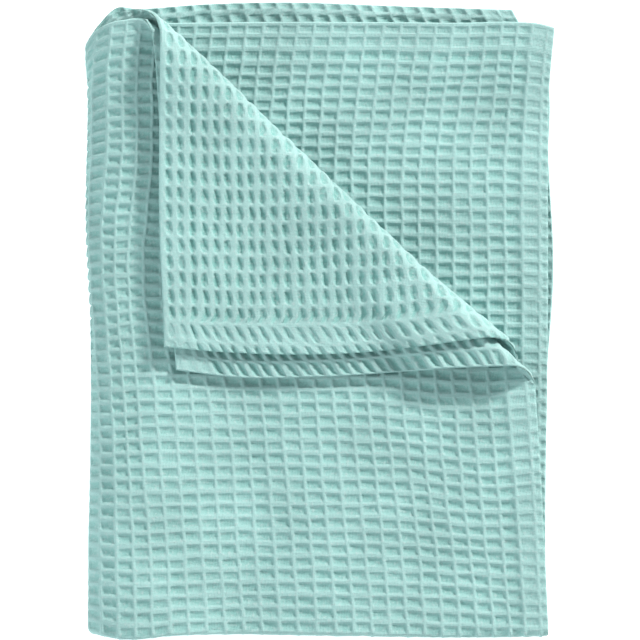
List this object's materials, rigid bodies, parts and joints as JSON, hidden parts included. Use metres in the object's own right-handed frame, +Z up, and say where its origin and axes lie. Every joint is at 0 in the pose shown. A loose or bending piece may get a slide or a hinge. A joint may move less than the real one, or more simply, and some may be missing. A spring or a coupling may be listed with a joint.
{
  "type": "waffle weave cotton blanket",
  "caption": "Folded waffle weave cotton blanket lying flat, hemmed all round, with the corner of its upper layers turned back.",
  "frame": {"origin": "under the middle of the folded blanket, on the surface that it lies on", "axes": "+X from the side fold to the free side hems, +Y from the bottom fold to the free end hems, +Z up"},
  "size_m": [0.3724, 0.5044, 0.057],
  "materials": {
    "mint_cotton": "matt, soft, slightly fuzzy woven cotton"
  },
  "bodies": {
    "root": {"blanket": "mint_cotton"}
  },
  "joints": []
}
